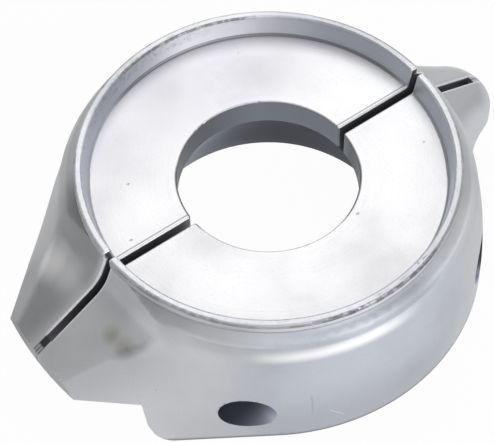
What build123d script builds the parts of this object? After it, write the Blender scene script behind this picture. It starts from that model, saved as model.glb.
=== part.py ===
from build123d import *
from math import acos, cos, exp, pi, radians, sin, sqrt, tan
import os

# Split collar anode for a saildrive leg, in millimetres.
# Origin: on the bore axis, in the plane of the base. +Z points up to the rim.
# The collar is cast in two halves that part on the plane y = 0. The broad flare
# points to -X and the small rounded lobe to +X.

# ---- rim, recess, bore and underside ----
HEIGHT = 48.0            # base to top of rim
RIM_R = 59.0             # outside of the raised rim
RIM_INNER_R = 56.4       # inner edge of the rim's top
LIP_HEIGHT = 3.2         # upright outside of the rim
NECK_Z = HEIGHT - LIP_HEIGHT
LIP_ROUND = 0.9          # rounding of the lip's edges
NECK_R = 58.5            # where the wall starts, just under the lip
RECESS_DEPTH = 7.5       # rim top to recessed face
RECESS_FLOOR_R = 55.0    # recess wall at its foot, drafted outwards to the rim
RECESS_FILLET = 0.8      # foot of the recess wall
LIP_INNER_ROUND = 0.6
BORE_EDGE_ROUND = 0.5
LAND_FOOT_ROUND = 0.5    # where the bore meets the conical underside
BORE_R = 28.0            # seat round the hub
LAND_LENGTH = 9.5        # straight length of the bore
CAVITY_R = 42.2          # mouth of the conical underside, in the base plane

# ---- outer wall ----
BASE_R = 68.0            # round part of the base
WALL_LEVELS = (0.0, 8.0, 15.5, 22.0, 28.0, 32.0, 35.0, 37.5, 39.5, 41.5, 43.5)
WALL_CREST = 0.4         # low rounded crest that runs round the wall under the neck
WALL_CREST_Z = 37.5
WALL_CREST_SPREAD = 3.5  # above and below which it fades out
SHOULDER_Z = 42.9        # where the wall ends and a chamfer runs in to the neck

# ---- broad flare on -X ----
CREST_FOOT = 125.0       # where the flare's two sides would meet, at the base
CREST_TOP = 67.2         # and level with the neck
FLANK_SWELL = 2.0        # how far the flare's sides stand out from the round wall
FLANK_SWELL_Z = 17.0     # height at which they stand out most
FLANK_SWELL_SPREAD = 11.0  # above and below which that fades out
FLARE_REACH = 86.4       # axis to the end of the flare
FLARE_END_R = 110.0      # radius of the slightly bowed end face
FLARE_CLEARANCE = 15.5   # base to the underside of the flare and of the lobe
FLARE_LIP_Z = 21.0       # top of the end face on the parting plane
FLARE_SLOPE = 31.0       # fall of its top, degrees
DROP_TOP_X = -58.2       # steep drop from the rim to the flare, at its top
DROP_DRAFT = 21.0        # lean of that drop, degrees
DROP_CENTRE_X = 140.0    # centre that the drop and the sloping top are turned about
DROP_FILLET = 12.0       # hollow between the drop and the sloping top
FLARE_CREASE_ROUND = 6.0 # rounding between the sloping top and the sides
STEP_X = 69.0            # upright step under the flare
STEP_TOP_FILLET = 1.5
STEP_FOOT_FILLET = 5.0
CHEEK = 2.3              # a cheek of this width is left at either end of the step
SCALLOP_R = 67.5         # between the cheeks it is scooped back to this radius
SCALLOP_HALF_WIDTH = 25.5

# ---- rounded lobe on +X ----
LOBE_REACH = 86.4        # axis to the tip of the lobe
LOBE_HALF_WIDTH = 13.0
LOBE_ROOT_X = 50.0       # buried end of the lobe
# levels of the lobe, each with the radius in plan of the hollow sweep that leads from
# the round wall to the lobe's tip
LOBE_SWEEPS = ((FLARE_CLEARANCE, 30.0), (24.0, 22.0), (31.0, 14.0), (38.0, 8.0))
LOBE_SINK = 0.3          # how far the ends of that sweep are sunk into the wall
LOBE_CREST_X = 68.4      # a point on the crest of the lobe's top
LOBE_CREST_Z = 30.8
LOBE_SLOPE = 20.5        # fall of its top, degrees
LOBE_ROUND = 7.5         # rounding of its top edges

# ---- parting gap ----
GAP = 2.4                # clear width between the halves
PAD_X = 81.5             # beyond this, pads at the tips meet on y = 0
EDGE_ROUND = 0.8         # rounding of the edges of the gap
LOBE_EDGE_ROUND = 0.4    # and of its edges along the lobe

# ---- clamp screws, M8 socket head ----
SCREW_X = 45.6           # from the bore axis, one screw on each side
SCREW_Z = 14.0           # above the base
SCREW_D = 8.0
SCREW_LENGTH = 40.0      # under the head
HEAD_D = 13.0
HEAD_HEIGHT = 8.0
HEAD_CHAMFER = 0.8
SOCKET_FLATS = 6.0
SOCKET_DEPTH = 4.0
COUNTERBORE_D = 14.0
CLEARANCE_D = 9.0
SEAT_Y = -22.0           # seat of the head in the near half
TAPPED_END_Y = 24.0      # end of the blind tapped hole in the far half

FAR = 300.0              # larger than the casting, for cutting tools
SLIGHT = 0.01            # tolerance for picking edges
OVER = 1.0               # by which a cutting tool runs past a face
FLARE_CUT_SWEEP = 60.0   # degrees turned by the cutter above the flare


def wall_radius(z):
    """Radius of the round wall at height z: a quarter of an ellipse and a low crest."""
    crest = WALL_CREST * exp(-(((z - WALL_CREST_Z) / WALL_CREST_SPREAD) ** 2))
    return NECK_R + (BASE_R - NECK_R) * sqrt(1 - (z / NECK_Z) ** 2) + crest


def crest_x(z):
    """Distance from the axis to the line where the flare's sides would meet."""
    return CREST_FOOT + (CREST_TOP - CREST_FOOT) * z / NECK_Z


def flank_swell(z):
    """How far the flare's straight sides stand out from the round wall."""
    return FLANK_SWELL * exp(-(((z - FLANK_SWELL_Z) / FLANK_SWELL_SPREAD) ** 2))


def wall_section(z):
    """Outline of the wall at height z: a half circle on +X, and on -X two flatter
    arcs that run out into straight sides, which meet in a point."""
    r, crest, swell = wall_radius(z), crest_x(z), flank_swell(z)
    touch = acos((r + swell) / crest)
    flat_r = r + swell / (1 - sin(touch))

    def on_flank(angle, side):
        return (-flat_r * cos(angle), side * (r - flat_r + flat_r * sin(angle)))

    half_way = (touch + pi / 2) / 2
    with BuildSketch(Plane.XY.offset(z)) as section:
        with BuildLine():
            ThreePointArc((0, -r), (r, 0), (0, r))
            ThreePointArc((0, r), on_flank(half_way, 1), on_flank(touch, 1))
            Polyline(on_flank(touch, 1), (-crest, 0), on_flank(touch, -1))
            ThreePointArc(on_flank(touch, -1), on_flank(half_way, -1), (0, -r))
        make_face()
    return section.sketch


def profile(*corners):
    """Closed outline in the XZ plane from (x, z, corner radius) corners."""
    with BuildSketch(Plane.XZ) as outline:
        with BuildLine():
            FilletPolyline(*[(x, z) for x, z, _ in corners], close=True,
                           radius=[corner_r for _, _, corner_r in corners])
        make_face()
    return outline.sketch


def flare_top_cutter():
    """What is cleared above the flare: a steep drop, a hollow, a falling top."""
    top_r = DROP_CENTRE_X - DROP_TOP_X
    end_r = DROP_CENTRE_X + FLARE_REACH
    fall = tan(radians(FLARE_SLOPE))
    lean = tan(radians(DROP_DRAFT))
    # the drop, r = top_r + lean * (NECK_Z - z), meets the falling top at its foot
    foot_z = (FLARE_LIP_Z + fall * (end_r - top_r - lean * NECK_Z)) / (1 - fall * lean)
    foot_r = top_r + lean * (NECK_Z - foot_z)
    outline = profile(
        (FAR, HEIGHT, 0), (top_r - lean * LIP_HEIGHT, HEIGHT, 0), (foot_r, foot_z, DROP_FILLET),
        (FAR, FLARE_LIP_Z - fall * (FAR - end_r), 0),
    )
    ring = revolve(outline, Axis.Z, revolution_arc=FLARE_CUT_SWEEP)
    return Pos(DROP_CENTRE_X, 0, 0) * Rot(0, 0, 180 - FLARE_CUT_SWEEP / 2) * ring


def walled_body():
    """Outer wall with the broad flare, up to the neck under the rim."""
    body = loft([wall_section(z) for z in WALL_LEVELS])
    body &= Pos(FLARE_END_R - FLARE_REACH, 0, 0) * Cylinder(FLARE_END_R, FAR)
    body -= flare_top_cutter()
    crease = [
        edge for edge in body.edges()
        if abs((edge @ 0.5).Y) > LOBE_HALF_WIDTH
        and min((edge @ 0).Z, (edge @ 1).Z) > FLARE_CLEARANCE
        and (edge @ 0.5).Z < WALL_LEVELS[-1] - SLIGHT
    ]
    return fillet(crease, FLARE_CREASE_ROUND)


def shoulder_radius(z):
    """Radius at height z of the chamfer between the wall and the neck."""
    return NECK_R + (wall_radius(SHOULDER_Z) - NECK_R) * (NECK_Z - z) / (NECK_Z - SHOULDER_Z)


def shoulder():
    """Round block that carries the wall on up to the neck, before the chamfer."""
    top_level = WALL_LEVELS[-1]
    block_r = (wall_radius(top_level) + shoulder_radius(top_level)) / 2
    sunk = top_level - OVER
    block = Pos(0, 0, (sunk + NECK_Z) / 2) * Cylinder(block_r, NECK_Z - sunk)
    return block - flare_top_cutter()


def shoulder_cutter():
    """Chamfers the top of the wall in to the neck."""
    foot_z = SHOULDER_Z - OVER
    foot_r = shoulder_radius(foot_z)
    return revolve(profile((NECK_R, NECK_Z, 0), (foot_r, foot_z, 0), (foot_r, NECK_Z, 0)), Axis.Z)


def rim():
    """Raised rim with a rounded lip, on the neck of the wall."""
    return revolve(
        profile((BORE_R, NECK_Z, 0), (RIM_R, NECK_Z, 0), (RIM_R, HEIGHT, LIP_ROUND), (BORE_R, HEIGHT, 0)),
        Axis.Z,
    )


def hollow():
    """Recess, bore and conical underside, turned as one cutting tool."""
    floor_z = HEIGHT - RECESS_DEPTH
    over_z = HEIGHT + OVER
    return revolve(
        profile(
            (0, -OVER, 0), (CAVITY_R, -OVER, 0), (CAVITY_R, 0, 0),
            (BORE_R, floor_z - LAND_LENGTH, LAND_FOOT_ROUND), (BORE_R, floor_z, BORE_EDGE_ROUND),
            (RECESS_FLOOR_R, floor_z, RECESS_FILLET),
            (RIM_INNER_R, HEIGHT, LIP_INNER_ROUND), (RIM_R, HEIGHT, 0), (RIM_R, over_z, 0), (0, over_z, 0),
        ),
        Axis.Z,
    )


def lobe_section(z, sweep_r):
    """Plan of the lobe at height z: a round tip that sweeps out into the wall."""
    wall_r = wall_radius(z) - LOBE_SINK
    tip_x = LOBE_REACH - LOBE_HALF_WIDTH
    to_wall, to_tip = wall_r + sweep_r, LOBE_HALF_WIDTH + sweep_r
    # the sweep's centre lies where both circles are touched from outside
    centre_x = (to_wall**2 - to_tip**2 + tip_x**2) / (2 * tip_x)
    centre_y = sqrt(to_wall**2 - centre_x**2)
    wall_x, wall_y = centre_x * wall_r / to_wall, centre_y * wall_r / to_wall
    touch_x = tip_x + (centre_x - tip_x) * LOBE_HALF_WIDTH / to_tip
    touch_y = centre_y * LOBE_HALF_WIDTH / to_tip
    toward = Vector((wall_x + touch_x) / 2 - centre_x, (wall_y + touch_y) / 2 - centre_y).normalized()
    mid_x, mid_y = centre_x + sweep_r * toward.X, centre_y + sweep_r * toward.Y
    with BuildSketch(Plane.XY.offset(z)) as section:
        with BuildLine():
            Polyline((wall_x, wall_y), (LOBE_ROOT_X, wall_y), (LOBE_ROOT_X, -wall_y), (wall_x, -wall_y))
            ThreePointArc((wall_x, -wall_y), (mid_x, -mid_y), (touch_x, -touch_y))
            ThreePointArc((touch_x, -touch_y), (LOBE_REACH, 0), (touch_x, touch_y))
            ThreePointArc((touch_x, touch_y), (mid_x, mid_y), (wall_x, wall_y))
        make_face()
    return section.sketch


def lobe():
    """Rounded lobe on +X, before it is joined to the wall."""
    thumb = loft([lobe_section(z, sweep_r) for z, sweep_r in LOBE_SWEEPS])
    above = Pos(0, 0, FAR / 2) * Box(FAR, FAR, FAR)
    thumb -= Pos(LOBE_CREST_X, 0, LOBE_CREST_Z) * Rot(0, LOBE_SLOPE, 0) * above
    top = thumb.faces().sort_by(Axis.Z)[-1]
    top_edges = top.edges().filter_by(lambda edge: (edge @ 0.5).X > BASE_R - LOBE_HALF_WIDTH)
    return fillet(top_edges, LOBE_ROUND)


def step_cutter():
    """Clears the underside of the flare, behind an upright step."""
    outline = profile((-STEP_X, -OVER, 0), (-STEP_X, FLARE_CLEARANCE, STEP_TOP_FILLET),
                      (-FAR, FLARE_CLEARANCE, 0), (-FAR, -OVER, 0))
    return extrude(outline, FAR, both=True)


def flank_y(x, z):
    """Half-width of the flare at a distance x in front of the axis, at height z."""
    stand_off = wall_radius(z) + flank_swell(z)
    touch = acos(stand_off / crest_x(z))
    return (stand_off - x * cos(touch)) / sin(touch)


def scallop_section(z):
    """Plan of the scoop at height z, which follows the lean of the flare's sides."""
    inner_x = -sqrt(SCALLOP_R**2 - SCALLOP_HALF_WIDTH**2)
    cheek_y = flank_y(STEP_X, max(z, 0)) - CHEEK
    with BuildSketch(Plane.XY.offset(z)) as scoop:
        with BuildLine():
            Polyline((inner_x, SCALLOP_HALF_WIDTH), (-STEP_X, cheek_y), (-STEP_X - OVER, cheek_y),
                     (-STEP_X - OVER, -cheek_y), (-STEP_X, -cheek_y), (inner_x, -SCALLOP_HALF_WIDTH))
            ThreePointArc((inner_x, -SCALLOP_HALF_WIDTH), (-SCALLOP_R, 0), (inner_x, SCALLOP_HALF_WIDTH))
        make_face()
    return scoop.sketch


def scallop_cutter():
    """Scoops the step back to the round body, between a cheek on either side."""
    return loft([scallop_section(-OVER), scallop_section(FLARE_CLEARANCE)])


def whole_casting():
    """The collar before it is parted, with no screw holes."""
    body = walled_body() + lobe() + shoulder() - shoulder_cutter() + rim() - hollow() - step_cutter()
    step_foot = [
        edge for edge in body.edges()
        if abs((edge @ 0.5).Z) < SLIGHT and abs((edge @ 0.5).X + STEP_X) < SLIGHT
    ]
    return fillet(step_foot, STEP_FOOT_FILLET) - scallop_cutter()


def gap_edges(half, y, low, high):
    """Edges of a half that lie on its parting face, by the x and z of their middles."""
    return [
        edge for edge in half.edges()
        if all(abs((edge @ t).Y - y) < SLIGHT for t in (0, 0.5, 1))
        and low[0] < (edge @ 0.5).X < high[0] and low[1] < (edge @ 0.5).Z < high[1]
    ]


def half_casting(whole, side):
    """One half of the collar: side -1 is the near half, side +1 the far half."""
    face_y = side * GAP / 2
    half = whole & Pos(0, side * FAR / 2, 0) * Box(2 * FAR, FAR, FAR)
    half -= Box(2 * PAD_X, GAP, FAR)
    over_flare = gap_edges(half, face_y, (-FLARE_REACH, FLARE_LIP_Z), (-RIM_INNER_R, NECK_Z - SLIGHT))
    over_rim = gap_edges(half, face_y, (-RIM_R - SLIGHT, HEIGHT - RECESS_DEPTH - LAND_LENGTH),
                         (RIM_R + SLIGHT, HEIGHT + SLIGHT))
    half = fillet(over_flare + over_rim, EDGE_ROUND)
    over_lobe = gap_edges(half, face_y, (LOBE_CREST_X - OVER, LOBE_CREST_Z - LOBE_ROUND),
                          (LOBE_REACH, LOBE_CREST_Z))
    return fillet(over_lobe, LOBE_EDGE_ROUND)


def screw_holes(diameter, y_from, y_to):
    """Drilled holes along Y for both screws, as cutting tools."""
    length = y_to - y_from
    drill = Rot(90, 0, 0) * Cylinder(diameter / 2, length)
    middle_y = y_from + length / 2
    return [Pos(side * SCREW_X, middle_y, SCREW_Z) * drill for side in (-1, 1)]


def near_half(whole):
    """Half on -Y, counterbored for the screw heads."""
    half = half_casting(whole, -1)
    half -= screw_holes(CLEARANCE_D, SEAT_Y, GAP)
    half -= screw_holes(COUNTERBORE_D, -FAR, SEAT_Y)
    return half


def far_half(whole):
    """Half on +Y, with blind tapped holes at their nominal size."""
    half = half_casting(whole, 1)
    return half - screw_holes(SCREW_D, -GAP, TAPPED_END_Y)


def clamp_screw():
    """Socket head cap screw, seat of the head at the origin, shank along +Z."""
    head = Pos(0, 0, -HEAD_HEIGHT / 2) * Cylinder(HEAD_D / 2, HEAD_HEIGHT)
    head = chamfer(head.edges().group_by(Axis.Z)[0], HEAD_CHAMFER)
    shank = Pos(0, 0, SCREW_LENGTH / 2) * Cylinder(SCREW_D / 2, SCREW_LENGTH)
    shank = chamfer(shank.edges().group_by(Axis.Z)[-1], HEAD_CHAMFER)
    hexagon = RegularPolygon(SOCKET_FLATS / 2, 6, major_radius=False)
    socket = Pos(0, 0, -HEAD_HEIGHT) * extrude(hexagon, SOCKET_DEPTH)
    return head + shank - socket


def placed_screw(side):
    """Clamp screw on the flare's side (-1) or the lobe's side (+1)."""
    return Pos(side * SCREW_X, SEAT_Y, SCREW_Z) * Rot(-90, 0, 0) * clamp_screw()


def main():
    os.makedirs("parts", exist_ok=True)
    whole = whole_casting()
    nodes = {
        "near_half": near_half(whole),
        "far_half": far_half(whole),
        "clamp_screw_flare_side": placed_screw(-1),
        "clamp_screw_lobe_side": placed_screw(1),
    }
    for name, shape in nodes.items():
        export_step(shape, f"parts/{name}.step")


main()
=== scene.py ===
"""Finishes, small cast and worn details, and studio for a split collar anode."""

import logging
import math
from dataclasses import dataclass
from enum import Enum
from random import Random

import bpy
from mathutils import Euler, Matrix, Vector


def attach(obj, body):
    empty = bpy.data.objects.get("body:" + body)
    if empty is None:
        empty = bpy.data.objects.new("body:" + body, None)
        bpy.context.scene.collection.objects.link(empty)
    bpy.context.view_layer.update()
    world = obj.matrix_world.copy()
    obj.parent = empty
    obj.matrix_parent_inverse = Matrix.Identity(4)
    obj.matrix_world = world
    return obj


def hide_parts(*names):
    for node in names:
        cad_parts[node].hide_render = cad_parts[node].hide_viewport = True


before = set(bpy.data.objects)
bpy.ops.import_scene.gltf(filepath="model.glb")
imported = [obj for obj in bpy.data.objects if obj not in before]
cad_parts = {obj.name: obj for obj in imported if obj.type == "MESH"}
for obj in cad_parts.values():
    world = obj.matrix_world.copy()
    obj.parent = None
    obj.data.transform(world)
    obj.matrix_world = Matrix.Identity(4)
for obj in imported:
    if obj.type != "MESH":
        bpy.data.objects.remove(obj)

MM = 0.001
Triple = tuple[float, float, float]
Colour = Triple
Layer = tuple[Colour, bpy.types.NodeSocket]

logging.basicConfig(level=logging.INFO, format="%(name)s: %(message)s")
log = logging.getLogger("collar_anode")


class Mark(Enum):
    """Kinds of small damage, each with half the size of its cutter: along, across and down."""

    NICK = (1.5 * MM, 0.30 * MM, 0.30 * MM)
    DENT = (2.4 * MM, 0.55 * MM, 0.45 * MM)
    CHIP = (0.8 * MM, 0.50 * MM, 0.45 * MM)
    PIT = (0.50 * MM, 0.45 * MM, 0.40 * MM)


class Spot(Enum):
    """Mottling, stains, a scrape, a paler patch and a spot of painted light: where they are, in millimetres,
    and the radii of core and edge.
    """

    MOTTLE = ((9.5, 37.0, 40.5), 3 * MM, 22 * MM)
    FLARE_LIGHT = ((-61.5, -21.5, 36.0), 2 * MM, 10 * MM)
    HANDLED = ((-68.8, 17.2, 33.5), 1 * MM, 9 * MM)
    HANDLED_EDGE = ((-67.0, 11.0, 33.0), 1 * MM, 8 * MM)
    SMUDGE = ((-68.4, -14.5, 32.8), 0.5 * MM, 4.5 * MM)
    LOWER_SMUDGE = ((-66.8, -20.0, 31.6), 0.5 * MM, 5 * MM)
    SCRAPE = ((-66.0, -22.5, 31.0), 2 * MM, 8 * MM)


@dataclass(frozen=True)
class CollarSize:
    """Driving sizes of the collar, in metres, shared by every finish and piece."""

    rim_top_z: float = 48.0 * MM
    neck_z: float = 44.8 * MM
    face_z: float = 40.5 * MM
    land_foot_z: float = 31.0 * MM
    rim_r: float = 59.0 * MM
    rim_inner_r: float = 56.4 * MM
    recess_r: float = 55.0 * MM
    bore_r: float = 28.0 * MM
    cavity_r: float = 42.2 * MM
    crest_z: float = 38.4 * MM
    half_gap: float = 1.2 * MM
    pad_x: float = 81.5 * MM
    tip_x: float = 86.4 * MM
    screw_x: float = 45.6 * MM
    screw_z: float = 14.0 * MM
    seat_y: float = -22.0 * MM
    counterbore_r: float = 7.0 * MM


SIZE = CollarSize()


def choose(piece: bpy.types.Object) -> None:
    """Selects one piece alone and makes it the active one.

    Args:
        piece: Piece to work on.
    """
    bpy.ops.object.select_all(action="DESELECT")
    piece.select_set(True)
    bpy.context.view_layer.objects.active = piece


def apply_modifier(piece: bpy.types.Object, kind: str, **settings: object) -> None:
    """Adds a modifier to a piece, sets it and applies it.

    Args:
        piece: Piece to work on.
        kind: Type of the modifier.
        **settings: Its settings by name.
    """
    choose(piece)
    modifier = piece.modifiers.new(kind.title(), kind)
    for setting, value in settings.items():
        setattr(modifier, setting, value)
    bpy.ops.object.modifier_apply(modifier=modifier.name)


class NodeSheet:
    """A material's node tree with short calls for the nodes that the finishes use."""

    def __init__(self, name: str) -> None:
        """Starts an empty material.

        Args:
            name: Name of the material.
        """
        self.material = bpy.data.materials.new(name)
        self.material.use_nodes = True
        self.tree = self.material.node_tree
        self.tree.nodes.clear()
        self.output = self.tree.nodes.new("ShaderNodeOutputMaterial")
        coordinates = self.tree.nodes.new("ShaderNodeTexCoord")
        self.place = coordinates.outputs["Object"]
        split = self.tree.nodes.new("ShaderNodeSeparateXYZ")
        self.tree.links.new(self.place, split.inputs[0])
        self.x, self.y, self.z = split.outputs
        facing = self.tree.nodes.new("ShaderNodeSeparateXYZ")
        self.tree.links.new(self.tree.nodes.new("ShaderNodeNewGeometry").outputs["Normal"], facing.inputs[0])
        self.up = facing.outputs[2]

    def feed(self, socket: bpy.types.NodeSocket, value: object) -> None:
        """Links a socket into an input, or sets the input to a plain value.

        Args:
            socket: Input to feed.
            value: Output socket, number or colour.
        """
        if isinstance(value, bpy.types.NodeSocket):
            self.tree.links.new(value, socket)
        else:
            socket.default_value = value

    def maths(self, operation: str, *values: object, clamp: bool = False) -> bpy.types.NodeSocket:
        """A Math node.

        Args:
            operation: Name of the operation.
            *values: Its inputs in order.
            clamp: Whether the result is held between 0 and 1.

        Returns:
            The result.
        """
        node = self.tree.nodes.new("ShaderNodeMath")
        node.operation = operation
        node.use_clamp = clamp
        for socket, value in zip(node.inputs, values):
            self.feed(socket, value)
        return node.outputs[0]

    def step(self, value: object, start: float, end: float) -> bpy.types.NodeSocket:
        """A smooth step from 0 at start to 1 at end, which may lie below start.

        Args:
            value: What is tested.
            start: Where the step is 0.
            end: Where the step is 1.

        Returns:
            The step.
        """
        node = self.tree.nodes.new("ShaderNodeMapRange")
        node.interpolation_type = "SMOOTHSTEP"
        low, high = (start, end) if start < end else (end, start)
        self.feed(node.inputs["Value"], value)
        node.inputs["From Min"].default_value = low
        node.inputs["From Max"].default_value = high
        node.inputs["To Min"].default_value = 0.0 if start < end else 1.0
        node.inputs["To Max"].default_value = 1.0 if start < end else 0.0
        return node.outputs["Result"]

    def product(self, *values: object) -> bpy.types.NodeSocket:
        """Multiplies values.

        Args:
            *values: Sockets or numbers.

        Returns:
            Their product.
        """
        result = values[0]
        for value in values[1:]:
            result = self.maths("MULTIPLY", result, value)
        return result

    def total(self, *values: object) -> bpy.types.NodeSocket:
        """Adds values.

        Args:
            *values: Sockets or numbers.

        Returns:
            Their sum.
        """
        result = values[0]
        for value in values[1:]:
            result = self.maths("ADD", result, value)
        return result

    def either(self, first: object, second: object) -> bpy.types.NodeSocket:
        """The larger of two masks."""
        return self.maths("MAXIMUM", first, second)

    def uneven(self, mask: object, swing: float, base: float) -> bpy.types.NodeSocket:
        """A mask scaled by swing and lifted by base."""
        return self.maths("MULTIPLY_ADD", mask, swing, base)

    def span(self, first: object, second: object) -> bpy.types.NodeSocket:
        """Length of the long side of a right triangle."""
        return self.maths("SQRT", self.total(self.product(first, first), self.product(second, second)))

    def band(self, value: object, low: float, high: float, blur: float) -> bpy.types.NodeSocket:
        """1 from low to high, fading to 0 over blur outside them.

        Args:
            value: What is tested.
            low: Start of the band.
            high: End of the band.
            blur: Width of each fade.

        Returns:
            The band.
        """
        return self.product(self.step(value, low - blur, low), self.step(value, high + blur, high))

    def noise(self, per_metre: float, detail: float, roughness: float = 0.5,
              stretch: Triple = (1.0, 1.0, 1.0)) -> bpy.types.NodeSocket:
        """Noise on the piece's own place.

        Args:
            per_metre: Features in a metre.
            detail: Octaves.
            roughness: Weight of the finer octaves.
            stretch: Scale of the place along each axis.

        Returns:
            The noise, about 0 to 1.
        """
        mapping = self.tree.nodes.new("ShaderNodeMapping")
        mapping.inputs["Scale"].default_value = stretch
        self.tree.links.new(self.place, mapping.inputs["Vector"])
        node = self.tree.nodes.new("ShaderNodeTexNoise")
        self.tree.links.new(mapping.outputs[0], node.inputs["Vector"])
        node.inputs["Scale"].default_value = per_metre
        node.inputs["Detail"].default_value = detail
        node.inputs["Roughness"].default_value = roughness
        return node.outputs["Fac"]

    def near(self, spot: Spot) -> bpy.types.NodeSocket:
        """A round spot: 1 in its core and 0 beyond its edge.

        Args:
            spot: Which spot.

        Returns:
            The spot.
        """
        point, core, edge = spot.value
        node = self.tree.nodes.new("ShaderNodeVectorMath")
        node.operation = "DISTANCE"
        self.tree.links.new(self.place, node.inputs[0])
        node.inputs[1].default_value = Vector(point) * MM
        return self.step(node.outputs["Value"], edge, core)

    def blend(self, share: object, first: object, second: object) -> bpy.types.NodeSocket:
        """First where share is 0 and second where it is 1.

        Args:
            share: Mixing factor.
            first: Colour or socket.
            second: Colour or socket.

        Returns:
            The mixed colour.
        """
        node = self.tree.nodes.new("ShaderNodeMix")
        node.data_type = "RGBA"
        self.feed(node.inputs["Factor"], share)
        for socket, value in ((node.inputs[6], first), (node.inputs[7], second)):
            self.feed(socket, value if isinstance(value, bpy.types.NodeSocket) else (*value, 1.0))
        return node.outputs[2]

    def metal(self, colour: object, roughness: object, metallic: float, relief: object, depth: float) -> None:
        """Ends the tree in a metal shader.

        Args:
            colour: Base colour.
            roughness: Roughness.
            metallic: How far the surface is bare metal.
            relief: Height of the fine relief, 0 to 1.
            depth: How deep that relief is, in metres.
        """
        shader = self.tree.nodes.new("ShaderNodeBsdfPrincipled")
        bump = self.tree.nodes.new("ShaderNodeBump")
        bump.inputs["Distance"].default_value = depth
        self.feed(bump.inputs["Height"], relief)
        self.feed(shader.inputs["Base Color"], colour)
        self.feed(shader.inputs["Roughness"], roughness)
        shader.inputs["Metallic"].default_value = metallic
        self.tree.links.new(bump.outputs[0], shader.inputs["Normal"])
        self.tree.links.new(shader.outputs[0], self.output.inputs["Surface"])


class CollarSheet(NodeSheet):
    """A node sheet with the masks of the collar's places, which its layers share."""

    def __init__(self, name: str) -> None:
        """Starts an empty material and draws the shared masks.

        Args:
            name: Name of the material.
        """
        super().__init__(name)
        self.radius = self.span(self.x, self.y)
        self.away = self.maths("ABSOLUTE", self.y)
        self.along = self.maths("ABSOLUTE", self.x)
        self.patchy = self.step(self.noise(120, 4, 0.6), 0.35, 0.60)
        self.patches = self.step(self.noise(420, 3, 0.6), 0.42, 0.56)
        self.flecks = self.step(self.noise(700, 3, 0.6), 0.52, 0.62)
        self.outside = self.step(self.radius, SIZE.rim_r - 1.5 * MM, SIZE.rim_r - 0.8 * MM)
        self.below_neck = self.product(
            self.outside, self.step(self.z, SIZE.neck_z + 0.4 * MM, SIZE.neck_z - 0.2 * MM),
        )
        self.on_rim = self.product(
            self.step(self.z, SIZE.rim_top_z - 1.0 * MM, SIZE.rim_top_z - 0.6 * MM),
            self.step(self.radius, SIZE.rim_inner_r - 0.6 * MM, SIZE.rim_inner_r - 0.1 * MM),
        )
        self.on_face = self.product(
            self.band(self.z, SIZE.face_z - 0.3 * MM, SIZE.face_z + 0.3 * MM, 0.2 * MM),
            self.step(self.radius, SIZE.recess_r + 0.2 * MM, SIZE.recess_r - 0.2 * MM),
        )
        self.on_recess_wall = self.product(
            self.band(self.radius, SIZE.recess_r - 0.1 * MM, SIZE.rim_inner_r - 0.2 * MM, 0.2 * MM),
            self.step(self.z, SIZE.face_z + 0.3 * MM, SIZE.face_z + 0.9 * MM),
        )
        self.in_cone = self.product(
            self.step(self.radius, SIZE.cavity_r + 0.3 * MM, SIZE.cavity_r - 0.2 * MM),
            self.step(self.z, SIZE.land_foot_z, SIZE.land_foot_z - 0.4 * MM),
        )

    def toward(self, azimuth: float, core: float, edge: float) -> bpy.types.NodeSocket:
        """A sector round the bore axis: 1 within core of a direction and 0 beyond edge.

        Args:
            azimuth: Middle of the sector, in degrees from +X towards +Y.
            core: Half angle of its middle, in degrees.
            edge: Half angle at which it ends, in degrees.

        Returns:
            The sector.
        """
        turn = math.radians(azimuth)
        along = self.total(self.product(self.x, math.cos(turn)), self.product(self.y, math.sin(turn)))
        share = self.maths("DIVIDE", along, self.radius)
        return self.step(share, math.cos(math.radians(edge)), math.cos(math.radians(core)))

    def rings(self, per_metre: float) -> bpy.types.NodeSocket:
        """Fine rings round the bore axis, as a lathe leaves them.

        Args:
            per_metre: Rings in a metre.

        Returns:
            The rings, about 0 to 1.
        """
        node = self.tree.nodes.new("ShaderNodeTexNoise")
        node.noise_dimensions = "1D"
        self.tree.links.new(self.radius, node.inputs["W"])
        node.inputs["Scale"].default_value = per_metre
        node.inputs["Detail"].default_value = 2.0
        return node.outputs["Fac"]


@dataclass(frozen=True)
class Scratches:
    """Lines of the three scratches that are drawn in the finish."""

    scrape_normal: tuple[float, float] = (0.526, 0.851)
    scrape_offset: float = 53.8 * MM
    front_y: float = -52.0 * MM
    upright_x: float = -29.0 * MM
    upright_ends: tuple[float, float] = (14.0 * MM, 20.0 * MM)
    slant_slope: float = 1.1
    slant_offset: float = -15.2 * MM
    slant_ends: tuple[float, float] = (-23.5 * MM, -20.0 * MM)


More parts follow.
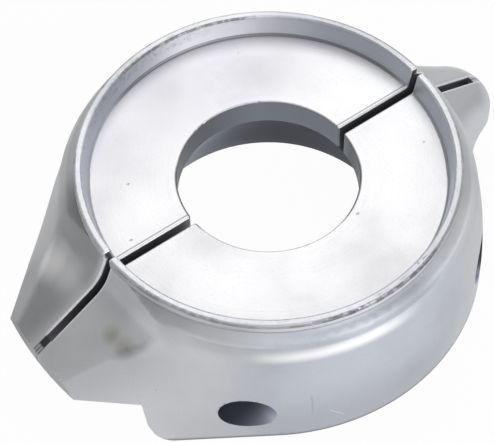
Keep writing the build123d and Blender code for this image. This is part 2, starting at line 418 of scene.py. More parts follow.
@dataclass(frozen=True)
class CastZinc:
    """Satin cast zinc with turned faces, as one finish for both halves.

    Each method that returns layers gives colours with their masks, and each layer is painted over
    the ones before it. Many layers are painted light and painted shade, not the metal's own colour.
    """

    skin: Colour = (0.585, 0.60, 0.63)
    cool_skin: Colour = (0.565, 0.59, 0.645)
    flank_shade: Colour = (0.45, 0.455, 0.465)
    flare: Colour = (0.68, 0.69, 0.70)
    far_flare_shade: Colour = (0.55, 0.555, 0.565)
    drop_shade: Colour = (0.24, 0.24, 0.25)
    far_tip_shade: Colour = (0.39, 0.395, 0.405)
    face: Colour = (0.72, 0.72, 0.73)
    rim: Colour = (0.66, 0.67, 0.70)
    recess_wall: Colour = (0.70, 0.73, 0.80)
    # Painted light: a pale tone for the sunlit part of the recess wall and for the band under the neck.
    painted_light_pale: Colour = (0.93, 0.94, 0.98)
    # The tones inside the bore and the cone below are painted light and painted shade.
    bore: Colour = (0.34, 0.37, 0.42)
    bore_shade: Colour = (0.22, 0.24, 0.27)
    bore_deep_shade: Colour = (0.09, 0.10, 0.115)
    underside: Colour = (0.12, 0.135, 0.17)
    cone: Colour = (0.50, 0.53, 0.60)
    cone_shade: Colour = (0.17, 0.175, 0.20)
    gap: Colour = (0.24, 0.24, 0.27)
    hole: Colour = (0.60, 0.63, 0.73)
    hole_deep_shade: Colour = (0.24, 0.255, 0.31)
    # Near-white for a real bright scratch, a paler patch on the far flare, and painted highlights and painted
    # light on the wall, lip, gap edges, flare and lobe.
    rubbed_and_highlight: Colour = (0.95, 0.95, 0.96)
    # Dark tone for real marks (tarnish, scratches, specks, seam lines) and for painted shade on sides, corners
    # and edges.
    soot_and_shade: Colour = (0.14, 0.14, 0.15)
    pitch: Colour = (0.055, 0.055, 0.06)
    tarnish: Colour = (0.27, 0.25, 0.20)
    lavender: Colour = (0.58, 0.57, 0.62)
    slate: Colour = (0.30, 0.31, 0.36)
    metallic: float = 0.8
    roughness: float = 0.42
    scale_roughness: float = 0.5
    grain_depth: float = 0.035 * MM
    scratches: Scratches = Scratches()

    def body_zones(self, sheet: CollarSheet) -> list[Layer]:
        """Tones of the wall and the flare: painted light on the flare's top, and painted shade on its far side
        and along the foot of the rim.

        Args:
            sheet: Tree to draw in.

        Returns:
            The layers.
        """
        # Painted light: the upward-facing top of the flare is lighter than the wall.
        flare = sheet.product(
            sheet.step(sheet.up, 0.62, 0.84), sheet.step(sheet.x, -54 * MM, -60 * MM),
            sheet.step(sheet.z, 41 * MM, 36 * MM), sheet.step(sheet.z, 15 * MM, 18 * MM),
        )
        # Painted shade: the far side of the wall by the flare, below the neck, is darker.
        flank_shade = sheet.product(
            sheet.step(sheet.y, 6 * MM, 14 * MM), sheet.step(sheet.x, -16 * MM, -34 * MM),
            sheet.below_neck, sheet.step(sheet.up, 0.90, 0.70),
        )
        cool = sheet.product(sheet.below_neck, sheet.toward(-100, 16, 42))
        # Painted shade: the far part of the flare's top, and the far side near its tip, are darker.
        far_flare_shade = sheet.product(flare, sheet.step(sheet.y, 0.5 * MM, 6 * MM))
        far_tip_shade = sheet.product(
            sheet.step(sheet.x, -66 * MM, -75 * MM), sheet.step(sheet.y, 1 * MM, 8 * MM),
            sheet.step(sheet.z, 4 * MM, 12 * MM), 0.85,
        )
        # Painted shade: a soft dark band along the foot of the rim, beside the far half of the flare.
        drop_shade = sheet.product(
            sheet.step(sheet.radius, SIZE.rim_r + 8.5 * MM, SIZE.rim_r + 0.5 * MM), sheet.below_neck,
            sheet.step(sheet.y, 1 * MM, 5 * MM), sheet.toward(166, 6, 23), 0.85,
        )
        return [
            (self.cool_skin, cool), (self.flank_shade, flank_shade), (self.flare, flare),
            (self.far_flare_shade, far_flare_shade), (self.far_tip_shade, far_tip_shade), (self.drop_shade, drop_shade),
        ]

    def bore_zones(self, sheet: CollarSheet) -> list[Layer]:
        """Tones of the cone and of the upright band above it, all painted light and painted shade that change
        with the direction round the bore.

        Args:
            sheet: Tree to draw in.

        Returns:
            The layers.
        """
        # Painted light and shade: the cone is pale where light reaches it and darker in one wide sector, and
        # keeps the dark underside tone at its inner edge.
        cone = sheet.product(
            sheet.in_cone, sheet.step(sheet.radius, SIZE.bore_r - 0.5 * MM, SIZE.bore_r - 0.1 * MM),
        )
        cone_shade = sheet.product(cone, sheet.toward(12, 35, 98))
        # Painted shade: the upright band is dark, and darker still in the sectors in shade.
        bore = sheet.product(
            sheet.step(sheet.radius, SIZE.bore_r + 0.6 * MM, SIZE.bore_r + 0.2 * MM),
            sheet.step(sheet.z, SIZE.land_foot_z - 0.4 * MM, SIZE.land_foot_z),
        )
        shaded = sheet.product(bore, sheet.toward(30, 15, 75))
        deep = sheet.product(bore, sheet.either(sheet.toward(135, 28, 80), sheet.toward(-28, 12, 26)), 0.9)
        return [
            (self.underside, sheet.in_cone), (self.cone, cone), (self.cone_shade, cone_shade),
            (self.bore, bore), (self.bore_shade, shaded), (self.bore_deep_shade, deep),
        ]

    def top_zones(self, sheet: CollarSheet) -> list[Layer]:
        """Tones of the rim, the recess wall and the face, with painted light on the sunlit part of the recess
        wall.

        Args:
            sheet: Tree to draw in.

        Returns:
            The layers.
        """
        rim = sheet.product(
            sheet.step(sheet.radius, SIZE.rim_inner_r - 0.5 * MM, SIZE.rim_inner_r - 0.2 * MM),
            sheet.step(sheet.z, SIZE.neck_z + 1.0 * MM, SIZE.neck_z + 1.6 * MM),
        )
        recess_wall = sheet.product(
            sheet.band(sheet.radius, SIZE.recess_r, SIZE.rim_inner_r, 0.4 * MM),
            sheet.step(sheet.z, SIZE.face_z, SIZE.face_z + 0.3 * MM),
        )
        # Painted light: one part of the recess wall is paler, as if lit.
        sunlit = sheet.product(recess_wall, sheet.toward(72, 14, 40))
        face = sheet.product(
            sheet.step(sheet.radius, SIZE.recess_r, SIZE.recess_r - 0.8 * MM),
            sheet.step(sheet.z, SIZE.face_z - 0.4 * MM, SIZE.face_z - 0.1 * MM),
        )
        return [
            (self.rim, rim), (self.recess_wall, recess_wall), (self.painted_light_pale, sunlit), (self.face, face),
        ]

    def wall_light_and_shade(self, sheet: CollarSheet) -> list[Layer]:
        """A painted highlight streak on the wall's upper bulge, a glint on the lip, painted light on the band
        under the neck, and painted shade on the wall.

        Args:
            sheet: Tree to draw in.

        Returns:
            The layers.
        """
        # Painted light: two short stretches of the band just under the neck are paler.
        neck_painted_light = sheet.product(
            sheet.band(sheet.z, SIZE.neck_z - 3.2 * MM, SIZE.neck_z - 0.4 * MM, 0.5 * MM), sheet.outside,
            sheet.either(sheet.toward(-136, 6, 16), sheet.toward(-64, 8, 20)), 0.30,
        )
        neck_glint = sheet.product(
            sheet.band(sheet.z, SIZE.neck_z + 0.4 * MM, SIZE.neck_z + 1.7 * MM, 0.2 * MM),
            sheet.outside, sheet.toward(-103, 14, 34), 0.75,
        )
        # Painted shade: the lower front of the wall and the upper right of the wall are darker.
        low_shade = sheet.product(
            sheet.step(sheet.z, 30 * MM, 6 * MM), sheet.outside, sheet.toward(-112, 22, 50), 0.24,
        )
        right_shade = sheet.product(
            sheet.outside, sheet.step(sheet.z, 41 * MM, 38 * MM), sheet.toward(-50, 18, 36), 0.10,
        )
        # Painted shade: the steep far sides near the flare's tip are darker.
        far_edge_shade = sheet.product(
            sheet.step(sheet.x, -66 * MM, -74 * MM), sheet.step(sheet.y, 4 * MM, 8 * MM),
            sheet.step(sheet.up, 0.65, 0.45), 0.25,
        )
        # Painted shade just above the wall's upper bulge, and a painted highlight streak along that bulge at
        # the front.
        above_crest_shade = sheet.product(
            sheet.band(sheet.z, SIZE.crest_z + 2.2 * MM, SIZE.crest_z + 5.2 * MM, 0.8 * MM),
            sheet.outside, sheet.toward(-96, 8, 26), 0.34,
        )
        crest_highlight = sheet.product(
            sheet.step(sheet.z, SIZE.crest_z - 2.8 * MM, SIZE.crest_z),
            sheet.step(sheet.z, SIZE.crest_z + 2.6 * MM, SIZE.crest_z),
            sheet.outside, sheet.toward(-108, 5, 27), 0.95,
        )
        # Painted shade: the near half beside the gap, below the neck, is darker.
        gap_shade = sheet.product(
            sheet.step(sheet.radius, SIZE.rim_r + 10 * MM, SIZE.rim_r + 1 * MM), sheet.below_neck,
            sheet.step(sheet.y, -1 * MM, -2 * MM), sheet.toward(-172, 5, 19), 0.22,
        )
        return [
            (self.painted_light_pale, neck_painted_light), (self.rubbed_and_highlight, neck_glint), (self.soot_and_shade, low_shade),
            (self.soot_and_shade, right_shade), (self.soot_and_shade, far_edge_shade), (self.soot_and_shade, above_crest_shade),
            (self.rubbed_and_highlight, crest_highlight), (self.soot_and_shade, gap_shade),
        ]

    def handling_marks_and_light(self, sheet: CollarSheet) -> list[Layer]:
        """Painted light on the lobe, the near flare and the near side of the wall, a paler patch on the far
        flare, and smudges and scratches on the flare and the front of the wall.

        Args:
            sheet: Tree to draw in.

        Returns:
            The layers.
        """
        lines = self.scratches
        # Painted light: the top of the lobe, a spot on the near flare and the near side of the wall are
        # lighter.
        lobe_painted_light = sheet.product(
            sheet.step(sheet.x, 58 * MM, 64 * MM), sheet.step(sheet.up, 0.3, 0.6),
            sheet.step(sheet.y, 1 * MM, 4 * MM), 0.25,
        )
        flare_painted_light = sheet.product(sheet.near(Spot.FLARE_LIGHT), sheet.below_neck, 0.22)
        flank_painted_light = sheet.product(
            sheet.step(sheet.x, -36 * MM, -52 * MM), sheet.step(sheet.y, -18 * MM, -32 * MM),
            sheet.step(sheet.up, 0.6, 0.3), 0.14,
        )
        # A paler patch on the far part of the flare's top.
        pale_patch = sheet.either(sheet.near(Spot.HANDLED), sheet.product(sheet.near(Spot.HANDLED_EDGE), 0.5))
        pale_patch = sheet.product(pale_patch, 0.75)
        smudge = sheet.either(sheet.near(Spot.SMUDGE), sheet.near(Spot.LOWER_SMUDGE))
        smudge = sheet.product(smudge, sheet.uneven(sheet.patchy, 0.25, 0.28))
        off_scrape = sheet.total(
            sheet.product(sheet.x, lines.scrape_normal[0]), sheet.product(sheet.y, lines.scrape_normal[1]),
            lines.scrape_offset,
        )
        scrape = sheet.product(
            sheet.band(off_scrape, -0.4 * MM, 0.4 * MM, 1.3 * MM), sheet.step(sheet.up, 0.2, 0.4),
            sheet.near(Spot.SCRAPE), 0.30,
        )
        on_front = sheet.step(sheet.y, lines.front_y, lines.front_y - 2 * MM)
        upright = sheet.product(
            sheet.band(sheet.x, lines.upright_x - 0.1 * MM, lines.upright_x + 0.1 * MM, 0.22 * MM),
            on_front, sheet.band(sheet.z, *lines.upright_ends, 2 * MM), 0.22,
        )
        on_slant = sheet.total(sheet.z, sheet.product(sheet.x, lines.slant_slope))
        slant = sheet.product(
            sheet.band(on_slant, lines.slant_offset - 0.1 * MM, lines.slant_offset + 0.1 * MM, 0.3 * MM),
            on_front, sheet.band(sheet.x, *lines.slant_ends, 1 * MM), 0.40,
        )
        return [
            (self.rubbed_and_highlight, lobe_painted_light), (self.rubbed_and_highlight, flare_painted_light), (self.rubbed_and_highlight, flank_painted_light),
            (self.rubbed_and_highlight, pale_patch), (self.tarnish, smudge), (self.soot_and_shade, scrape), (self.soot_and_shade, upright),
            (self.rubbed_and_highlight, slant),
        ]

    def rim_shade_and_marks(self, sheet: CollarSheet) -> list[Layer]:
        """Painted shade, specks and knocks on the rim and the upper recess wall, and a painted shade line under
        the lip.

        Args:
            sheet: Tree to draw in.

        Returns:
            The layers.
        """
        # Painted shade: the rim, the recess wall and the rim's inner edge are darker in some directions round
        # the bore, the inner edge broken up by flecks.
        rim_turns = sheet.either(sheet.toward(28, 14, 34), sheet.toward(-58, 8, 24))
        rim_shade = sheet.product(sheet.on_rim, sheet.either(rim_turns, sheet.toward(112, 6, 16)), 0.35)
        recess_turns = sheet.either(sheet.toward(34, 14, 30), sheet.toward(106, 8, 24))
        recess_shade = sheet.product(sheet.on_recess_wall, recess_turns, 0.24)
        inner_shade = sheet.product(
            sheet.band(sheet.radius, SIZE.rim_inner_r - 1.0 * MM, SIZE.rim_inner_r + 0.8 * MM, 0.3 * MM),
            sheet.step(sheet.z, 43 * MM, 45 * MM), sheet.toward(104, 16, 36),
            sheet.uneven(sheet.flecks, 0.28, 0.14),
        )
        specks = sheet.product(sheet.on_rim, sheet.flecks, 0.10)
        rough_line = sheet.product(
            sheet.band(sheet.radius, SIZE.rim_inner_r - 0.2 * MM, SIZE.rim_inner_r + 0.3 * MM, 0.15 * MM),
            sheet.on_rim, sheet.toward(84, 20, 28), sheet.uneven(sheet.patches, 0.35, 0.45),
        )
        # Painted shade: a dark line in the corner under the lip.
        neck_shade_line = sheet.product(
            sheet.band(sheet.z, SIZE.neck_z - 0.2 * MM, SIZE.neck_z + 0.2 * MM, 0.3 * MM),
            sheet.outside, 0.22,
        )
        lip_edge = sheet.product(
            sheet.band(sheet.z, SIZE.rim_top_z - 1.1 * MM, SIZE.rim_top_z - 0.4 * MM, 0.25 * MM),
            sheet.outside, sheet.uneven(sheet.patchy, 0.35, 0.30),
        )
        lip_knocks = sheet.product(
            sheet.band(sheet.z, SIZE.rim_top_z - 1.3 * MM, SIZE.rim_top_z - 0.05 * MM, 0.15 * MM),
            sheet.step(sheet.radius, SIZE.rim_r - 0.9 * MM, SIZE.rim_r - 0.5 * MM),
            sheet.toward(-90, 16, 26), sheet.patches, 0.75,
        )
        return [
            (self.slate, rim_shade), (self.slate, recess_shade), (self.slate, inner_shade),
            (self.soot_and_shade, specks), (self.soot_and_shade, rough_line), (self.soot_and_shade, neck_shade_line),
            (self.soot_and_shade, lip_edge), (self.soot_and_shade, lip_knocks),
        ]

    def face_marks_and_shade(self, sheet: CollarSheet) -> list[Layer]:
        """Haze and mottling of the face, painted shade on its far part and near the recess wall, and a painted
        shade line at the wall's foot.

        Args:
            sheet: Tree to draw in.

        Returns:
            The layers.
        """
        haze = sheet.product(sheet.on_face, sheet.step(sheet.noise(30, 3), 0.50, 0.72), 0.10)
        # Painted shade: the face darkens towards its far side.
        far_face_shade = sheet.product(sheet.on_face, sheet.step(sheet.y, 8 * MM, 40 * MM), 0.45)
        mottle = sheet.product(sheet.on_face, sheet.near(Spot.MOTTLE), sheet.patchy, 0.55)
        # Painted shade: the face darkens towards the recess wall, and a dark line lies in the corner at the
        # wall's foot.
        foot_shade = sheet.product(
            sheet.on_face, sheet.step(sheet.radius, SIZE.recess_r - 6.0 * MM, SIZE.recess_r - 0.6 * MM), 0.26,
        )
        foot_turns = sheet.either(sheet.toward(58, 46, 62), sheet.product(sheet.toward(-30, 40, 70), 0.5))
        foot_shade_line = sheet.product(
            sheet.band(sheet.radius, SIZE.recess_r - 0.5 * MM, SIZE.recess_r + 0.1 * MM, 0.2 * MM),
            sheet.step(sheet.z, SIZE.face_z + 1.1 * MM, SIZE.face_z + 0.7 * MM),
            sheet.step(sheet.z, SIZE.face_z - 0.5 * MM, SIZE.face_z - 0.2 * MM),
            sheet.uneven(foot_turns, 0.65, 0.12),
        )
        return [
            (self.lavender, haze), (self.lavender, far_face_shade), (self.lavender, mottle),
            (self.lavender, foot_shade), (self.soot_and_shade, foot_shade_line),
        ]

    def edge_lines_and_shade(self, sheet: CollarSheet) -> list[Layer]:
        """Painted highlights and painted shade along the parting gap, the bore, the tip's pad and the base, and
        dark seam lines where the halves touch.

        Args:
            sheet: Tree to draw in.

        Returns:
            The layers.
        """
        # Painted highlight along the rounded edges of the gap, and a painted shade line where the far half's
        # rounded edge meets the face.
        gap_edge_highlight = sheet.product(
            sheet.band(sheet.away, SIZE.half_gap + 0.15 * MM, SIZE.half_gap + 0.75 * MM, 0.1 * MM),
            sheet.step(sheet.up, 0.1, 0.35), sheet.step(sheet.z, 22 * MM, 26 * MM), 0.7,
        )
        edge_shade_line = sheet.product(
            sheet.on_face,
            sheet.band(sheet.y, SIZE.half_gap + 0.95 * MM, SIZE.half_gap + 1.35 * MM, 0.12 * MM), 0.6,
        )
        # Painted shade: a dark line on the round into the bore, on two stretches.
        bore_edge_shade = sheet.product(
            sheet.step(sheet.radius, SIZE.bore_r + 0.75 * MM, SIZE.bore_r + 0.5 * MM),
            sheet.step(sheet.z, SIZE.face_z - 0.9 * MM, SIZE.face_z - 0.6 * MM),
            sheet.either(sheet.toward(163, 18, 30), sheet.toward(-48, 14, 32)), 0.8,
        )
        seam = sheet.product(
            sheet.step(sheet.away, 0.35 * MM, 0.15 * MM),
            sheet.step(sheet.along, SIZE.pad_x - 0.2 * MM, SIZE.pad_x), 0.75,
        )
        on_top = sheet.step(sheet.up, 0.3, 0.6)
        on_pad = sheet.product(sheet.step(sheet.x, -SIZE.pad_x, -SIZE.pad_x - 0.2 * MM), on_top)
        between = sheet.step(sheet.away, SIZE.half_gap + 0.1 * MM, SIZE.half_gap - 0.1 * MM)
        # Painted shade: the pad between the halves is darkened as if the shaded gap ran on.
        pad = sheet.product(on_pad, between, 0.35)
        pad_lines = sheet.product(
            on_pad, sheet.band(sheet.away, SIZE.half_gap - 0.25 * MM, SIZE.half_gap + 0.1 * MM, 0.1 * MM), 0.75,
        )
        # Painted shade: a near-black patch where the pad starts, standing in for the gap's shade.
        pad_mouth_shade = sheet.product(
            sheet.band(sheet.x, -SIZE.pad_x - 2.4 * MM, -SIZE.pad_x + 0.3 * MM, 0.4 * MM), on_top, between,
        )
        # Painted shade: the tip's end face and a thin band along the base are darker.
        tip_face_shade = sheet.product(
            sheet.step(sheet.x, 2.4 * MM - SIZE.tip_x, 0.9 * MM - SIZE.tip_x),
            sheet.step(sheet.up, 0.5, 0.25), 0.45,
        )
        base_shade_line = sheet.product(sheet.step(sheet.z, 1.3 * MM, 0.3 * MM), 0.65)
        return [
            (self.rubbed_and_highlight, gap_edge_highlight), (self.soot_and_shade, edge_shade_line), (self.soot_and_shade, bore_edge_shade), (self.soot_and_shade, seam),
            (self.soot_and_shade, pad), (self.soot_and_shade, pad_lines), (self.pitch, pad_mouth_shade), (self.soot_and_shade, tip_face_shade),
            (self.soot_and_shade, base_shade_line),
        ]

    def hollows(self, sheet: CollarSheet) -> list[Layer]:
        """Painted shade inside the parting gap and in the counterbores, which are pale near their mouths.

        Args:
            sheet: Tree to draw in.

        Returns:
            The layers.
        """
        # Painted shade: the faces inside the parting gap are dark.
        gap = sheet.product(
            sheet.step(sheet.away, SIZE.half_gap + 0.10 * MM, SIZE.half_gap + 0.03 * MM),
            sheet.step(sheet.along, SIZE.pad_x, SIZE.pad_x - 0.1 * MM),
            sheet.step(sheet.radius, SIZE.bore_r, SIZE.bore_r + 0.2 * MM),
        )
        from_axis = sheet.span(
            sheet.maths("SUBTRACT", sheet.along, SIZE.screw_x), sheet.maths("SUBTRACT", sheet.z, SIZE.screw_z),
        )
        # Painted light and shade: the counterbore's inner wall is pale near its mouth and darker deeper in.
        hole = sheet.product(
            sheet.step(from_axis, SIZE.counterbore_r + 0.12 * MM, SIZE.counterbore_r + 0.02 * MM),
            sheet.step(sheet.y, SIZE.seat_y + 0.2 * MM, SIZE.seat_y),
        )
        hole_deep_shade = sheet.product(hole, sheet.step(sheet.y, -58 * MM, -46 * MM))
        return [(self.hole, hole), (self.hole_deep_shade, hole_deep_shade), (self.gap, gap)]

    def material(self) -> bpy.types.Material:
        """Builds the material.

        Returns:
            The finished material.
        """
        sheet = CollarSheet("cast_zinc")
        cloud = sheet.noise(34, 3, 0.55)
        grain = sheet.noise(1500, 2)
        zones = self.body_zones(sheet) + self.bore_zones(sheet) + self.top_zones(sheet)
        tarnished = [
            (self.soot_and_shade, sheet.product(sheet.step(cloud, 0.45, 0.75), 0.14)),
            (self.soot_and_shade, sheet.product(sheet.step(grain, 0.5, 0.9), 0.12)),
        ]
        marks_and_painted_light = self.wall_light_and_shade(sheet) + self.handling_marks_and_light(sheet) + self.rim_shade_and_marks(sheet)
        marks_and_painted_light += self.face_marks_and_shade(sheet) + self.edge_lines_and_shade(sheet)
        colour: object = self.skin
        for layer_colour, mask in zones + tarnished + marks_and_painted_light + self.hollows(sheet):
            colour = sheet.blend(mask, colour, layer_colour)
        roughness = sheet.total(
            self.roughness, sheet.product(cloud, 0.12), sheet.product(sheet.in_cone, self.scale_roughness),
        )
        turned = sheet.product(
            sheet.step(sheet.z, SIZE.face_z - 0.5 * MM, SIZE.face_z - 0.2 * MM),
            sheet.step(sheet.up, 0.9, 0.98), sheet.rings(2600),
        )
        relief = sheet.total(grain, sheet.noise(260, 3), turned)
        sheet.metal(colour, roughness, self.metallic, relief, self.grain_depth)
        return sheet.material


@dataclass(frozen=True)
class StainlessSteel:
    """Plain stainless steel of the clamp screws."""

    steel: Colour = (0.55, 0.54, 0.53)
    dull: Colour = (0.30, 0.29, 0.28)
    roughness: float = 0.32

    def material(self) -> bpy.types.Material:
        """Builds the material.

        Returns:
            The finished material.
        """
        sheet = NodeSheet("stainless")
        haze = sheet.noise(220, 4, 0.6)
        lines = sheet.noise(900, 2, 0.5, (1.0, 0.08, 1.0))
        colour = sheet.blend(sheet.step(haze, 0.4, 0.8), self.steel, self.dull)
        roughness = sheet.maths("ADD", self.roughness, sheet.maths("MULTIPLY", haze, 0.2))
        sheet.metal(colour, roughness, 1.0, lines, 0.02 * MM)
        return sheet.material


@dataclass(frozen=True)
class MarkRun:
    """A run of small marks along a circle round the bore axis."""

    kind: Mark
    radius: float
    z: float
    start: float
    end: float
    count: int
    seed: int

    def places(self) -> list[tuple[Vector, float, float]]:
        """Where the marks lie.

        Returns:
            The place, turn and size of each mark.
        """
        dice = Random(self.seed)
        places = []
        for _ in range(self.count):
            turn = math.radians(dice.uniform(self.start, self.end))
            reach = self.radius + dice.uniform(-0.15, 0.15) * MM
            height = self.z + dice.uniform(-0.1, 0.1) * MM
            place = Vector((reach * math.cos(turn), reach * math.sin(turn), height))
            places.append((place, turn + math.pi / 2 + dice.uniform(-0.2, 0.2), dice.uniform(0.5, 1.15)))
        return places


@dataclass
class Damage:
    """Knocks, chips and pits that years of handling and casting have left."""

    runs: tuple[MarkRun, ...] = (
        MarkRun(Mark.NICK, SIZE.rim_inner_r, SIZE.rim_top_z, 58, 108, 26, 3),
        MarkRun(Mark.DENT, SIZE.rim_r, SIZE.rim_top_z, 64, 118, 8, 5),
        MarkRun(Mark.NICK, SIZE.rim_r, SIZE.rim_top_z, 120, 236, 12, 8),
        MarkRun(Mark.NICK, SIZE.rim_r + 0.1 * MM, SIZE.rim_top_z - 0.2 * MM, -116, -66, 34, 13),
        MarkRun(Mark.DENT, SIZE.rim_r + 0.1 * MM, SIZE.rim_top_z - 0.3 * MM, -112, -70, 10, 21),
        MarkRun(Mark.NICK, SIZE.rim_r - 1.3 * MM, SIZE.rim_top_z + 0.2 * MM, -104, -64, 6, 34),
        MarkRun(Mark.NICK, SIZE.rim_r, SIZE.rim_top_z, -58, 40, 9, 55),
        MarkRun(Mark.CHIP, SIZE.bore_r, SIZE.face_z, 50, 172, 5, 89),
        MarkRun(Mark.CHIP, SIZE.bore_r, SIZE.face_z, -170, -20, 4, 144),
    )
    pits: tuple[Triple, ...] = (
        (-36.5, 22.4, 40.6), (13.0, -27.6, 40.6), (-47.3, 4.9, 40.6), (13.1, -55.8, 48.2),
        (-65.2, -32.3, 21.4), (-29.3, -61.5, 18.2), (46.0, -18.5, 40.7), (20.5, 44.0, 40.7),
    )
    clear_of_gap: float = 2.5 * MM

    def tool(self, side: int) -> bpy.types.Object:
        """Makes the cutter for one half: small rounded blobs sunk a little into its surface.

        Args:
            side: -1 for the near half and 1 for the far half.

        Returns:
            The cutter, as one object.
        """
        marks = [(run.kind, *place) for run in self.runs for place in run.places()]
        marks += [(Mark.PIT, Vector(pit) * MM, 0.0, 1.0) for pit in self.pits]
        blobs = []
        for kind, place, turn, scale in marks:
            if side * place.y < self.clear_of_gap:
                continue
            bpy.ops.mesh.primitive_ico_sphere_add(subdivisions=2, radius=1.0, location=place)
            blob = bpy.context.active_object
            blob.rotation_euler = Euler((0, 0, turn))
            blob.scale = tuple(scale * half for half in kind.value)
            blobs.append(blob)
        bpy.ops.object.select_all(action="DESELECT")
        for blob in blobs:
            blob.select_set(True)
        bpy.context.view_layer.objects.active = blobs[0]
        bpy.ops.object.join()
        tool = bpy.context.active_object
        bpy.ops.object.transform_apply(location=True, rotation=True, scale=True)
        return tool


@dataclass
class Casting:
    """One cast half of the collar, with its knocks and chips cut into it."""

    node: str
    side: int
    smooth_angle: float = 35.0
    crease_angle: float = 5.0
    merge: float = 0.002 * MM
    shoulder_foot: float = 39.0 * MM
    shoulder_top: float = 44.4 * MM
    shoulder_stand_off: float = 0.4 * MM
    clear_of_gap: float = 2.6 * MM

    def blank(self) -> bpy.types.Object:
        """Copies the half and joins its loose faces.

        Returns:
            The copy.
        """
        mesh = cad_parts[self.node].data.copy()
        blank = bpy.data.objects.new(f"worn_{self.node}", mesh)
        bpy.context.scene.collection.objects.link(blank)
        choose(blank)
        bpy.ops.object.mode_set(mode="EDIT")
        bpy.ops.mesh.select_all(action="SELECT")
        bpy.ops.mesh.remove_doubles(threshold=self.merge)
        bpy.ops.object.mode_set(mode="OBJECT")
        return blank

    def mark_creases(self, half: bpy.types.Object) -> None:
        """Marks as sharp the edges at which two surfaces of the plain half meet at an angle.

        Args:
            half: The half, after its marks are cut.
        """
        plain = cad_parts[self.node].data
        spots = [self.spot(vertex.co) for vertex in plain.vertices]
        ends: dict[tuple, list[tuple[Vector, Vector]]] = {}
        for face in plain.polygons:
            corners = [(spots[plain.loops[loop].vertex_index], plain.corner_normals[loop].vector)
                       for loop in face.loop_indices]
            for pair in zip(corners, corners[1:] + corners[:1]):
                first, second = sorted(pair, key=lambda corner: corner[0])
                ends.setdefault((first[0], second[0]), []).append((first[1], second[1]))
        limit = math.cos(math.radians(self.crease_angle))
        for edge in half.data.edges:
            places = [half.data.vertices[index].co for index in edge.vertices]
            if all(self.on_shoulder(place) for place in places):
                continue
            sides = ends.get(tuple(sorted(self.spot(place) for place in places)), [])
            if len(sides) == 2 and min(sides[0][0].dot(sides[1][0]), sides[0][1].dot(sides[1][1])) < limit:
                edge.use_edge_sharp = True

    def on_shoulder(self, place: Vector) -> bool:
        """Whether a place lies on the soft shoulder just under the neck, clear of the parting gap."""
        outside = math.hypot(place.x, place.y) > SIZE.rim_r + self.shoulder_stand_off
        return outside and abs(place.y) > self.clear_of_gap and self.shoulder_foot < place.z < self.shoulder_top

    def spot(self, place: Vector) -> tuple[int, ...]:
        """A place in whole steps of the merging distance."""
        return tuple(round(part / self.merge) for part in place)

    def build(self, damage: Damage, finish: bpy.types.Material) -> bpy.types.Object:
        """Builds the worn half and puts it in the place of the plain one.

        Args:
            damage: Marks to cut.
            finish: Material of the castings.

        Returns:
            The finished half.
        """
        half = self.blank()
        tool = damage.tool(self.side)
        apply_modifier(half, "BOOLEAN", operation="DIFFERENCE", object=tool, solver="EXACT", use_self=True)
        bpy.data.objects.remove(tool, do_unlink=True)
        choose(half)
        bpy.ops.object.shade_smooth_by_angle(angle=math.radians(self.smooth_angle))
        self.mark_creases(half)
        apply_modifier(half, "WEIGHTED_NORMAL", mode="FACE_AREA", keep_sharp=True)
        half.data.materials.clear()
        half.data.materials.append(finish)
        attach(half, "root")
        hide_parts(self.node)
        log.info("%s built with %d faces", half.name, len(half.data.polygons))
        return half


@dataclass
class Castings:
    """The two cast halves of the collar."""

    halves: tuple[Casting, ...] = (Casting("near_half", -1), Casting("far_half", 1))

    def build(self, finish: bpy.types.Material) -> None:
        """Builds both halves.

        Args:
            finish: Material of the castings.
        """
        damage = Damage()
        for half in self.halves:
            half.build(damage, finish)


@dataclass
class ClampScrews:
    """The two socket head screws that draw the halves together."""

    names: tuple[str, ...] = ("clamp_screw_flare_side", "clamp_screw_lobe_side")

    def dress(self, finish: bpy.types.Material) -> None:
        """Gives both screws their finish.

        Args:
            finish: Material of the screws.
        """
        for name in self.names:
            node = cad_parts[name]
            node.data.materials.clear()
            node.data.materials.append(finish)
            log.info("%s dressed in %s", name, finish.name)


@dataclass(frozen=True)
class Lamp:
    """A square soft lamp that faces the collar."""

    name: str
    place: Triple
    size: float
    watts: float
    aim_z: float = 20.0 * MM

    def hang(self) -> None:
        """Adds the lamp to the scene."""
        data = bpy.data.lights.new(self.name, "AREA")
        data.size = self.size
        data.energy = self.watts
        lamp = bpy.data.objects.new(self.name, data)
        bpy.context.scene.collection.objects.link(lamp)
        lamp.location = self.place
        lamp.rotation_mode = "QUATERNION"
        lamp.rotation_quaternion = (Vector(self.place) - Vector((0, 0, self.aim_z))).to_track_quat("Z", "Y")


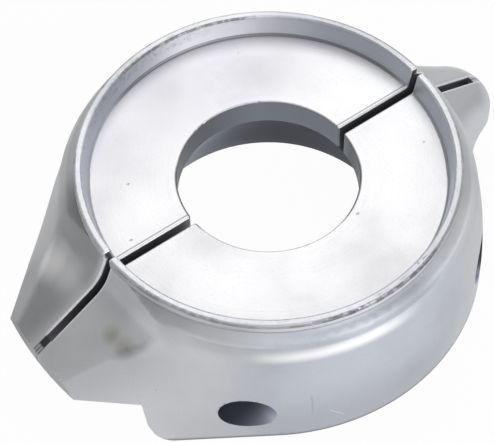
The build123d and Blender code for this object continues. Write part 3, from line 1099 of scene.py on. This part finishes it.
@dataclass
class Studio:
    """Pale floor, soft light and camera."""

    azimuth: float = -35.146
    elevation: float = 55.70
    roll: float = -1.0
    distance: float = 603.9 * MM
    aim_right: float = -6.43 * MM
    aim_up: float = -18.59 * MM
    lens: float = 145.75
    sensor: float = 36.0
    clip: tuple[float, float] = (0.01, 20.0)
    lamps: tuple[Lamp, ...] = (
        Lamp("overhead", (0.38, 0.50, 1.05), 0.8, 5.0),
        Lamp("front", (0.15, -1.05, 0.33), 0.45, 3.2),
        Lamp("front_high", (-0.14, -0.80, 0.78), 0.8, 2.4),
    )
    floor_size: float = 6.0
    floor_drop: float = 0.1 * MM
    floor_colour: Colour = (0.80, 0.80, 0.81)
    floor_glow: float = 0.97
    world_light: float = 0.40
    ceiling: float = 0.50
    horizon: tuple[float, float] = (0.02, 0.35)

    def camera(self) -> None:
        """Places the camera."""
        turn, lift = math.radians(self.azimuth), math.radians(self.elevation)
        back = Vector((math.sin(turn) * math.cos(lift), -math.cos(turn) * math.cos(lift), math.sin(lift)))
        level = back.to_track_quat("Z", "Y").to_matrix()
        right, up = level.col[0], level.col[1]
        lean = math.radians(self.roll)
        rolled_right = math.cos(lean) * right + math.sin(lean) * up
        rolled_up = math.cos(lean) * up - math.sin(lean) * right
        aim = Vector((0, 0, SIZE.rim_top_z)) + self.aim_right * rolled_right + self.aim_up * rolled_up
        data = bpy.data.cameras.new("studio_camera")
        data.lens = self.lens
        data.sensor_width = self.sensor
        data.clip_start, data.clip_end = self.clip
        camera = bpy.data.objects.new("studio_camera", data)
        bpy.context.scene.collection.objects.link(camera)
        pose = Matrix((rolled_right, rolled_up, back)).transposed().to_4x4()
        pose.translation = aim + self.distance * back
        camera.matrix_world = pose
        bpy.context.scene.camera = camera

    def backdrop(self, name: str, tint: Colour) -> bpy.types.Material:
        """Paper that looks almost white to the camera and in reflections, and keeps a soft shadow.

        Args:
            name: Name of the material.
            tint: Colour that the lamps fall on.

        Returns:
            The material.
        """
        material = bpy.data.materials.new(name)
        material.use_nodes = True
        nodes, links = material.node_tree.nodes, material.node_tree.links
        nodes.clear()
        paint = nodes.new("ShaderNodeBsdfDiffuse")
        paint.inputs["Color"].default_value = (*tint, 1.0)
        glow = nodes.new("ShaderNodeEmission")
        mix = nodes.new("ShaderNodeMixShader")
        share = nodes.new("ShaderNodeMath")
        share.operation = "MULTIPLY"
        share.inputs[1].default_value = self.floor_glow
        links.new(self.seen_directly(nodes, links), share.inputs[0])
        links.new(share.outputs[0], mix.inputs["Fac"])
        links.new(paint.outputs[0], mix.inputs[1])
        links.new(glow.outputs[0], mix.inputs[2])
        links.new(mix.outputs[0], nodes.new("ShaderNodeOutputMaterial").inputs["Surface"])
        return material

    def seen_directly(self, nodes: bpy.types.Nodes, links: bpy.types.NodeLinks) -> bpy.types.NodeSocket:
        """1 for what the camera sees straight, mirrored or through glass, and 0 for plain light.

        Args:
            nodes: Nodes of the tree.
            links: Links of the tree.

        Returns:
            The switch.
        """
        paths = nodes.new("ShaderNodeLightPath")
        mirrored = nodes.new("ShaderNodeMath")
        mirrored.operation = "MAXIMUM"
        seen = nodes.new("ShaderNodeMath")
        seen.operation = "MAXIMUM"
        links.new(paths.outputs["Is Glossy Ray"], mirrored.inputs[0])
        links.new(paths.outputs["Is Transmission Ray"], mirrored.inputs[1])
        links.new(paths.outputs["Is Camera Ray"], seen.inputs[0])
        links.new(mirrored.outputs[0], seen.inputs[1])
        return seen.outputs[0]

    def floor(self) -> None:
        """Lays the floor."""
        bpy.ops.object.select_all(action="DESELECT")
        bpy.ops.mesh.primitive_plane_add(size=self.floor_size, location=(0, 0, -self.floor_drop))
        plane = bpy.context.active_object
        plane.name = "studio_floor"
        plane.data.materials.append(self.backdrop("floor_paper", self.floor_colour))

    def world(self) -> None:
        """Surroundings that are white at the horizon and greyer overhead, with a softer light from them."""
        world = bpy.data.worlds.new("studio_world")
        bpy.context.scene.world = world
        world.use_nodes = True
        nodes, links = world.node_tree.nodes, world.node_tree.links
        nodes.clear()
        direction = nodes.new("ShaderNodeSeparateXYZ")
        links.new(nodes.new("ShaderNodeTexCoord").outputs["Generated"], direction.inputs[0])
        overhead = nodes.new("ShaderNodeMapRange")
        overhead.inputs["From Min"].default_value, overhead.inputs["From Max"].default_value = self.horizon
        overhead.inputs["To Min"].default_value, overhead.inputs["To Max"].default_value = 1.0, self.ceiling
        links.new(direction.outputs[2], overhead.inputs["Value"])
        strength = nodes.new("ShaderNodeMapRange")
        strength.inputs["To Min"].default_value = self.world_light
        light = nodes.new("ShaderNodeBackground")
        links.new(self.seen_directly(nodes, links), strength.inputs["Value"])
        links.new(overhead.outputs["Result"], strength.inputs["To Max"])
        links.new(strength.outputs["Result"], light.inputs["Strength"])
        links.new(light.outputs[0], nodes.new("ShaderNodeOutputWorld").inputs["Surface"])

    def build(self) -> None:
        """Sets up everything round the collar."""
        self.floor()
        self.world()
        for lamp in self.lamps:
            lamp.hang()
        self.camera()
        bpy.context.scene.view_settings.view_transform = "Standard"
        log.info("studio set up")


def main() -> None:
    """Dresses the collar and sets up the studio."""
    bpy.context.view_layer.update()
    Castings().build(CastZinc().material())
    ClampScrews().dress(StainlessSteel().material())
    Studio().build()


if __name__ == "__main__":
    main()
